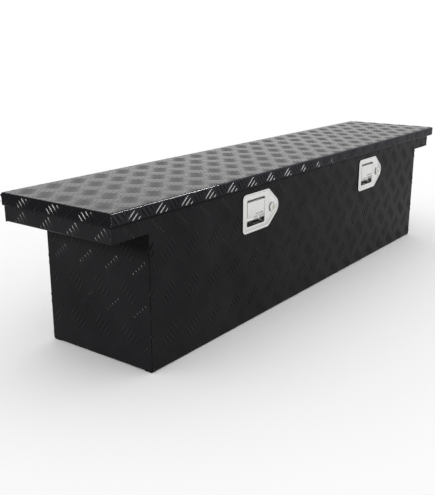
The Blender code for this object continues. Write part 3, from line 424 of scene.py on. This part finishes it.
def clearUnderLatches(field, y):
    for side in sides.values():
        middle = side * latch["offset"]
        bare = block((middle - latch["bareBack"], y - through, latch["z"] - latch["bareHalf"]),
                     (middle + latch["bareNose"], y + through, latch["z"] + latch["bareHalf"]))
        combine(field, bare, "DIFFERENCE")


def buildWall(node, outward, name):  # the front or the back
    low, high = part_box(node)
    y = low.y if outward < 0 else high.y
    across, up, corner = (-outward, 0, 0), (0, 0, 1), (0, y, 0)
    tub = layTread(treads["wall"], (-tubHalf, fold["radius"]), (tubHalf, ledge), across, up, corner)
    band = layTread(treads["wall"], (-high.x, ledge), (high.x, high.z), across, up, corner)
    if outward < 0:
        clearUnderLatches(tub, y)
        clearUnderLatches(band, y)
    finishPiece(joinPieces([tub, band, copyNode(node)]), name, "box", boxCoat, [node])


def buildEnd(name, side):
    low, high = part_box(f"end_{name}")
    outer = low.x if side < 0 else high.x
    across, up, radius = (0, side, 0), (0, 0, 1), fold["radius"]
    tub = layTread(treads["end"], (low.y, radius), (high.y, ledge - radius), across, up,
                   (side * tubHalf, 0, 0))
    band = layTread(treads["end"], (low.y, ledge + radius), (high.y, high.z), across, up, (outer, 0, 0))
    finishPiece(joinPieces([tub, band, copyNode(f"end_{name}")]), f"end_sheet_{name}", "box", boxCoat,
                [f"end_{name}"])


lid = {"curve": 0.0042, "margin": 0.001, "backMargin": 0.002, "topSheet": 0.0021}


def buildLid():  # the flat top and the folded skirts are two pieces, because they wear different copies of one coat: the top's is painted paler as painted sheen, the skirts' darker as painted shade
    x, front, back, top = lidHigh.x, lidLow.y, lidHigh.y, lidHigh.z
    curve, margin = lid["curve"], lid["margin"]
    topField = layTread(treads["lidTop"], (-x + curve, front + curve),
                        (x - curve, back - lid["backMargin"]), (1, 0, 0), (0, 1, 0), (0, 0, top))
    fields = [layTread(treads["lidFront"], (-x + margin, lidLow.z + curve), (x - margin, top - curve),
                       (1, 0, 0), (0, 0, 1), (0, front, 0))]
    for name, side in sides.items():
        fields.append(layTread(treads[f"lid{name.title()}"], (front + margin, lidLow.z + curve),
                               (back - margin, top - curve), (0, side, 0), (0, 0, 1), (side * x, 0, 0)))
    skirts, sheet = copyNode("lid_pan"), copyNode("lid_pan")
    low = (-x + curve, front + curve, top - lid["topSheet"])
    high = (x - curve, back + margin, top + margin)
    combine(skirts, block(low, high), "DIFFERENCE")
    combine(sheet, block(low, high), "INTERSECT")
    # the top takes the coat copy painted paler: painted sheen
    finishPiece(joinPieces([topField, sheet]), "lid_top", "lid", topCoat)
    # the skirts take the coat copy painted darker: painted shade
    finishPiece(joinPieces(fields + [skirts]), "lid_skirts", "lid", lidCoat, ["lid_pan"])


buildWall("front_panel", -1, "front_sheet")
buildWall("back_panel", 1, "back_sheet")
for sideName, side in sides.items():
    buildEnd(sideName, side)
buildLid()
print("tread sheets done")

# latch plates: a pressed plate with a bead round it, and a deep pocket

plate = {"back": 0.061, "shoulder": 0.060, "nose": 0.110, "half": 0.0528, "sheet": 0.0014,
         "noseHalf": 0.0124, "corner": 0.012, "shoulderBlend": 0.0042, "noseBlend": 0.01116, "rim": 0.0040,
         "bead": 0.0010, "beadSlope": 0.0008, "beadFlat": 0.0012, "edge": 0.0006, "lockHole": 0.0098,
         "pinHole": 0.0023, "slotHalf": 0.006, "slotLow": 0.0162, "slotHigh": 0.004, "slotStart": 0.004,
         "slotEnd": 0.006}
pocket = {"half": 0.0425, "high": 0.0355, "depth": 0.022, "corner": 0.005, "scoop": 0.017, "mouth": 0.0010,
          "reach": 0.012}


def makeBowl(middle, grow):  # the pocket's shape, with a wide curve along its lower back edge
    deep = latch["face"] + pocket["depth"] + grow
    low = latch["z"] - pocket["high"] - grow
    bowl = block((middle - pocket["half"] - grow, latch["face"] - pocket["reach"], low),
                 (middle + pocket["half"] + grow, deep, latch["z"] + pocket["high"] + grow))
    pickEdges(bowl, lambda a, b: min(a.y, b.y) > deep - near and max(a.z, b.z) < low + near)
    bpy.ops.mesh.bevel(offset=pocket["scoop"] + grow, segments=10, affect="EDGES")
    leaveEdit()
    softenEdges(bowl, pocket["corner"] + grow, 5)
    return bowl


def makePlate(middle):
    face, z, half = latch["face"], latch["z"], plate["half"]
    piece = block((middle - plate["back"], face, z - half),
                  (middle + plate["shoulder"], face + plate["sheet"], z + half))
    pickFaces(piece, lambda centre, normal: normal.x > 0.9)
    reach = plate["nose"] - plate["shoulder"]
    bpy.ops.mesh.extrude_region_move(TRANSFORM_OT_translate={"value": (reach, 0, 0)})
    bpy.ops.transform.resize(value=(1, 1, plate["noseHalf"] / half), center_override=(middle, face, z))
    bpy.ops.mesh.select_all(action="SELECT")
    bpy.ops.mesh.dissolve_limited(angle_limit=math.radians(1))
    leaveEdit()
    corners = ((-plate["back"], "corner", 7), (plate["shoulder"], "shoulderBlend", 4),
               (plate["nose"], "noseBlend", 10))
    for offset, blend, steps in corners:
        x = middle + offset
        pickEdges(piece, lambda a, b: max(abs(a.x - x), abs(b.x - a.x), abs(a.z - b.z)) < near)
        bpy.ops.mesh.bevel(offset=plate[blend], segments=steps, affect="EDGES")
        leaveEdit()
    pickFaces(piece, lambda centre, normal: normal.y < -0.9)
    bpy.ops.mesh.inset(thickness=plate["rim"], depth=0)
    bpy.ops.mesh.inset(thickness=plate["beadSlope"], depth=-plate["bead"])
    bpy.ops.mesh.inset(thickness=plate["beadFlat"], depth=0)
    bpy.ops.mesh.inset(thickness=plate["beadSlope"], depth=plate["bead"] * 0.5)
    leaveEdit()
    softenEdges(piece, plate["edge"], 3, 50)
    return piece


def buildDish(name, middle):
    face, z, pinZ = latch["face"], latch["z"], latch["pinZ"]
    deep = face + pocket["depth"]
    piece = makePlate(middle)
    shell = makeBowl(middle, plate["sheet"])
    pickFaces(shell, lambda centre, normal: True)
    bpy.ops.mesh.bisect(plane_co=(0, face + plate["bead"] + 0.0001, 0), plane_no=(0, 1, 0), use_fill=True,
                        clear_inner=True)
    leaveEdit()
    combine(piece, shell, "UNION")
    combine(piece, makeBowl(middle, 0), "DIFFERENCE")
    lockHole = rod(plate["lockHole"], through, (middle + lock["offset"], face, z - lock["sink"]), "Y", 32)
    combine(piece, lockHole, "DIFFERENCE")
    slot = block((middle - plate["slotHalf"], deep - plate["slotStart"], pinZ - plate["slotLow"]),
                 (middle + plate["slotHalf"], deep + plate["slotEnd"], pinZ + plate["slotHigh"]))
    combine(piece, slot, "DIFFERENCE")
    combine(piece, rod(plate["pinHole"], 0.12, (middle, latch["pinY"], pinZ), "X"), "DIFFERENCE")
    mouthY, slack = face + plate["bead"] * 0.5, 0.0002
    pickEdges(piece, lambda a, b: max(abs(a.y - b.y), abs((a.y + b.y) / 2 - mouthY)) < slack
              and max(abs(a.x - middle), abs(b.x - middle)) < pocket["half"] + slack
              and max(abs(a.z - z), abs(b.z - z)) < pocket["high"] + slack)
    bpy.ops.mesh.bevel(offset=pocket["mouth"], segments=3, affect="EDGES")
    leaveEdit()
    finishPiece(piece, f"latch_plate_{name}", "box", stainless, [f"latch_dish_{name}"])


# distances from the paddle's pin
paddle = {"half": 0.0405, "front": -0.0067, "sheet": 0.0025, "top": 0.0025, "low": -0.0400, "roll": 0.0030,
          "edge": 0.0007, "rollEdge": 0.0006, "barrel": 0.0038, "barrelHalf": 0.037, "bore": 0.0024,
          "webLow": -0.003, "webHigh": 0.0022, "webSunk": 0.0006, "tail": 0.030, "tailStart": 0.0015,
          "tailHalf": 0.004, "tailHigh": 0.002, "slitStart": -0.002, "slitEnd": 0.034, "slitLow": -0.0335,
          "slitHigh": -0.0305, "slitEdge": 0.0013}


def buildPaddle(name, middle):
    def at(x, y, z):
        return (middle + x, latch["pinY"] + y, latch["pinZ"] + z)

    back, rolled = paddle["front"] + paddle["sheet"], paddle["low"] + paddle["roll"]
    piece = block(at(-paddle["half"], paddle["front"], rolled), at(paddle["half"], back, paddle["top"]))
    softenEdges(piece, paddle["edge"], 3)
    roll = rod(paddle["roll"], 2 * paddle["half"], at(0, paddle["front"] + paddle["roll"], rolled), "X", 32)
    softenEdges(roll, paddle["rollEdge"], 2, 60)
    combine(piece, roll, "UNION")
    slit = block(at(paddle["slitStart"], -through, paddle["slitLow"]),
                 at(paddle["slitEnd"], 0, paddle["slitHigh"]))
    softenEdges(slit, paddle["slitEdge"], 4)
    combine(piece, slit, "DIFFERENCE")
    combine(piece, rod(paddle["barrel"], 2 * paddle["barrelHalf"], at(0, 0, 0), "X", 32), "UNION")
    web = block(at(-paddle["barrelHalf"], back - paddle["webSunk"], paddle["webLow"]),
                at(paddle["barrelHalf"], 0, paddle["webHigh"]))
    combine(piece, web, "UNION")
    tail = block(at(-paddle["tailHalf"], paddle["tailStart"], -paddle["tailHigh"]),
                 at(paddle["tailHalf"], paddle["tail"], paddle["tailHigh"]))
    combine(piece, tail, "UNION")
    combine(piece, rod(paddle["bore"], 0.12, at(0, 0, 0), "X"), "DIFFERENCE")
    finishPiece(piece, f"latch_paddle_{name}", f"paddle_body_{name}", brushedStainless,
                [f"paddle_{name}"])


lock = {"offset": 0.079, "sink": 0.0015, "radius": 0.0140, "head": 0.0035, "barrel": 0.0095,
        "barrelSeat": 0.001, "bore": 0.0078, "plug": 0.0075, "bezel": 0.0018, "step": 0.0007, "edge": 0.0006,
        "plugEdge": 0.0007, "notch": 0.0020, "notchRise": 0.0108, "notchDepth": 0.0017, "drain": 0.0018,
        "drainSheet": 0.0004, "keyHalf": 0.0011, "keyHigh": 0.0034, "keyDepth": 0.006, "keyEdge": 0.0004}


def buildLock(name, middle):
    low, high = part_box(f"lock_housing_{name}")
    x, z = middle + lock["offset"], latch["z"] - lock["sink"]
    head = rod(lock["radius"], lock["head"], (x, low.y + lock["head"] / 2, z), "Y", 64)
    pickFaces(head, lambda centre, normal: normal.y < -0.9)
    bpy.ops.mesh.inset(thickness=lock["bezel"], depth=0)
    bpy.ops.mesh.inset(thickness=lock["step"], depth=-lock["step"])
    leaveEdit()
    softenEdges(head, lock["edge"], 3, 50)
    length = high.y - low.y - lock["barrelSeat"]
    combine(head, rod(lock["barrel"], length, (x, high.y - length / 2, z), "Y", 48), "UNION")
    combine(head, rod(lock["bore"], 0.09, (x, low.y, z), "Y", 48), "DIFFERENCE")
    notch = rod(lock["notch"], 0.004, (x, low.y, z + lock["notchRise"]), "Y", 20)
    combine(head, notch, "DIFFERENCE")
    finishPiece(head, f"lock_body_ring_{name}", "box", stainless, [f"lock_housing_{name}"])
    # a dark rubber disc at the floor of the notch: painted shade, so that the notch reads dark
    drain = rod(lock["drain"], lock["drainSheet"], (x, low.y + lock["notchDepth"], z + lock["notchRise"]),
                "Y", 20)
    finishPiece(drain, f"lock_drain_{name}", "box", sealRubber)
    low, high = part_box(f"lock_plug_{name}")
    plug = rod(lock["plug"], high.y - low.y, (x, (low.y + high.y) / 2, z), "Y", 48)
    softenEdges(plug, lock["plugEdge"], 3, 60)
    keyway = block((x - lock["keyHalf"], low.y - through, z - lock["keyHigh"]),
                   (x + lock["keyHalf"], low.y + lock["keyDepth"], z + lock["keyHigh"]))
    softenEdges(keyway, lock["keyEdge"], 2)
    combine(plug, keyway, "DIFFERENCE")
    finishPiece(plug, f"lock_core_{name}", f"lock_body_{name}", nickelPlate,
                [f"lock_plug_{name}"])


for name, side in sides.items():
    buildDish(name, side * latch["offset"])
    buildPaddle(name, side * latch["offset"])
    buildLock(name, side * latch["offset"])
print("latches done")

# weld beads on the corners

weld = {"radius": 0.0025, "pitch": 0.0030, "jitter": 0.0005, "wide": (0.85, 1.1), "flat": 0.55,
        "taller": (0.1, 0.3), "inset": 0.0016, "startGap": 0.003, "topGap": 0.004}
chance = random.Random(7)


def weldSeam(x, y, low, high):  # overlapping blobs up a corner
    blobs = []
    for k in range(int((high - low) / weld["pitch"]) + 1):
        clearSelection()
        bpy.ops.mesh.primitive_uv_sphere_add(segments=12, ring_count=7, radius=weld["radius"],
                                             location=(x, y, low + k * weld["pitch"]))
        blob = bpy.context.object
        wide = [chance.uniform(*weld["wide"]) for _ in range(2)]
        blob.scale = wide + [weld["flat"] + chance.uniform(*weld["taller"])]
        blob.location.x += chance.uniform(-weld["jitter"], weld["jitter"])
        blob.location.y += chance.uniform(-weld["jitter"], weld["jitter"])
        setPlace(blob)
        blobs.append(blob)
    return blobs


def buildWelds():
    frontY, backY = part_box("front_panel")[0].y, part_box("back_panel")[1].y
    wingX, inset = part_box("front_panel")[1].x, weld["inset"]
    lidBlobs, boxBlobs = [], []
    for side in sides.values():
        for y in (lidLow.y + inset, lidHigh.y - inset):
            lidBlobs += weldSeam(side * (lidHigh.x - inset), y, lidLow.z + weld["startGap"],
                                 lidHigh.z - weld["topGap"])
        for y in (frontY + inset, backY - inset):
            boxBlobs += weldSeam(side * (wingX - inset), y, ledge + weld["startGap"], lidLow.z)
    finishPiece(joinPieces(lidBlobs), "lid_welds", "lid", lidCoat, smooth=80)
    finishPiece(joinPieces(boxBlobs), "box_welds", "box", boxCoat, smooth=80)


buildWelds()
print("welds done")

# piano hinge: two leaves with knuckles in turn, and a row of rivet heads

hinge = {"radius": 0.0047, "pitch": 0.0254, "gap": 0.0005, "sheet": 0.0012, "edge": 0.0003,
         "rivetPitch": 0.1016, "rivet": 0.0026, "rivetHigh": 0.0009, "rivetInset": 0.007}


def buildLeaf(name, node, body, level, up, first, replaced):  # first is 0 or 1, the leaf's first knuckle
    low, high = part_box(node)
    y, z = joints["lid_hinge"]["pos_m"][1:]
    radius, pitch, gap = hinge["radius"], hinge["pitch"], hinge["gap"]
    start = low.x + first * pitch + pitch / 2
    length = pitch - gap
    knuckle = rod(radius, length, (start, y, z), "X", 20)
    tab = block((start - length / 2, y - radius - gap * 2, level),
                (start + length / 2, y, level + hinge["sheet"]))
    knuckles = joinPieces([tab, knuckle])
    repeat(knuckles, int((high.x - low.x) / pitch / 2), (2 * pitch, 0, 0))
    strip = block((low.x, low.y, level), (high.x, y - radius - gap, level + hinge["sheet"]))
    softenEdges(strip, hinge["edge"], 2)
    clearSelection()
    seat = level + (hinge["sheet"] if up > 0 else 0)
    bpy.ops.mesh.primitive_uv_sphere_add(
        segments=12, ring_count=8, radius=hinge["rivet"],
        location=(low.x + hinge["rivetPitch"] / 2, low.y + hinge["rivetInset"], seat))
    rivets = bpy.context.object
    rivets.scale.z = hinge["rivetHigh"] / hinge["rivet"]
    setPlace(rivets)
    repeat(rivets, int((high.x - low.x) / hinge["rivetPitch"]), (hinge["rivetPitch"], 0, 0))
    finishPiece(joinPieces([knuckles, rivets, strip]), name, body, zincPlate, replaced)


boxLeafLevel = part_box("hinge_leaf_box")[0].z
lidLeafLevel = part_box("hinge_leaf_lid")[1].z - hinge["sheet"]
buildLeaf("hinge_strip_box", "hinge_leaf_box", "box", boxLeafLevel, 1, 0, ["hinge_leaf_box", "hinge_pin"])
buildLeaf("hinge_strip_lid", "hinge_leaf_lid", "lid", lidLeafLevel, -1, 1, ["hinge_leaf_lid"])
print("hinge done")

# the rest keeps its shape, and sheet and bar edges are eased

finishes = {"black_coat": boxCoat, "seal_rubber": sealRubber, "zinc_plate": zincPlate,
            "bare_aluminium": millAluminium, "stainless": stainless, "lock_nickel": nickelPlate,
            "strut_black": strutPaint, "hard_chrome": hardChrome}
edges = {"weather_seal": 0.0026, "rim_": 0.0006, "lid_brace": 0.0004, "striker": 0.0004, "strut_": 0.0005,
         "hook_bracket": 0.0004, "latch_hook": 0.0006, "lock_nut": 0.0005, "lock_cam": 0.0003,
         "floor_panel": 0.0006}
slots = {part["node"]: part["material_slot"] for part in frame["record"]["subparts"]}
for nodeName, node in frame["nodes"].items():
    finish = finishes[slots[nodeName]]
    node.data.materials.clear()
    node.data.materials.append(finish)
    for start, width in edges.items():
        if nodeName.startswith(start):
            piece = copyNode(nodeName)
            softenEdges(piece, width, 3 if width > 0.001 else 2)
            finishPiece(piece, f"{nodeName}_eased", node.parent.name.split(":")[1], finish,
                        [nodeName])
print("finishes on")

# floor, light and camera

studio = {"floorSize": 60.0, "floor": "#fafafa", "world": 1.05}


def buildStudio():
    clearSelection()
    bpy.ops.mesh.primitive_plane_add(size=studio["floorSize"], location=(0, 0, 0))
    floor = bpy.context.object
    floor.name = "studio_floor"
    floor.data.materials.append(newMaterial("matt_white_floor", {  # chalky: shadows fade softly on it
        "Base Color": hexColour(studio["floor"]), "Roughness": 0.9, "Specular IOR Level": 0.1})[0])
    world = bpy.data.worlds.new("soft_white_studio")
    world.use_nodes = True
    sky = world.node_tree.nodes["Background"]
    sky.inputs["Color"].default_value = (1, 1, 1, 1)
    sky.inputs["Strength"].default_value = studio["world"]
    bpy.context.scene.world = world
    bpy.context.scene.view_settings.view_transform = "Standard"


lamps = {  # place, what it faces, width, height, radiance, and the pieces that it lights
    "end_lamp": ((-3.1, 0.28, 1.35), (-0.87, 0.0, 0.3), 0.6, 0.6, 200.0,
                 ("lid_skirts", "lid_welds", "box_welds", "end_sheet_left")),
    "skirt_lamp": ((0.45, -2.8, 1.65), (-0.3, -0.18, 0.4), 1.8, 0.6, 150.0,
                   ("lid_skirts", "lid_welds", "box_welds")),
    "panel_lamp": ((0.4, -2.9, 1.8), (0.0, -0.18, 0.3), 6.0, 0.7, 35.0, ("front_sheet", "box_welds")),
    "back_lamp": ((0.0, 3.0, 1.8), (0.0, 0.18, 0.3), 6.0, 0.7, 35.0, ("back_sheet",)),
    "right_lamp": ((3.2, 0.0, 1.6), (0.8, 0.0, 0.3), 2.0, 0.6, 35.0, ("end_sheet_right",)),
    "edge_lamp": ((0.8, -1.05, 2.15), (-0.6, -0.18, 0.41), 1.3, 0.4, 600.0, ("lid_skirts", "lid_welds")),
}


def buildLamps():
    for name, (place, target, width, height, radiance, lit) in lamps.items():
        lamp = bpy.data.lights.new(name, "AREA")
        lamp.shape = "RECTANGLE"
        lamp.size, lamp.size_y = width, height
        lamp.energy = radiance * math.pi * width * height
        lamp.diffuse_factor = 0  # they only draw highlights on the coat
        piece = bpy.data.objects.new(name, lamp)
        bpy.context.scene.collection.objects.link(piece)
        piece.location = place
        piece.rotation_euler = (Vector(target) - Vector(place)).to_track_quat("-Z", "Y").to_euler()
        piece.visible_camera = False
        receivers = bpy.data.collections.new(f"lit_by_{name}")
        for receiver in lit:
            receivers.objects.link(bpy.data.objects[receiver])
        piece.light_linking.receiver_collection = receivers


view = {"place": (-1.8782, -1.1823, 0.7544), "heading": -53.366, "down": 16.555, "lens": 51.84}


def buildCamera():
    lens = bpy.data.cameras.new("camera")
    lens.lens = view["lens"]
    lens.clip_end = 200
    camera = bpy.data.objects.new("camera", lens)
    bpy.context.scene.collection.objects.link(camera)
    camera.location = view["place"]
    camera.rotation_euler = (math.radians(90 - view["down"]), 0, math.radians(view["heading"]))
    bpy.context.scene.camera = camera


buildStudio()
buildLamps()
buildCamera()
print("studio ready")
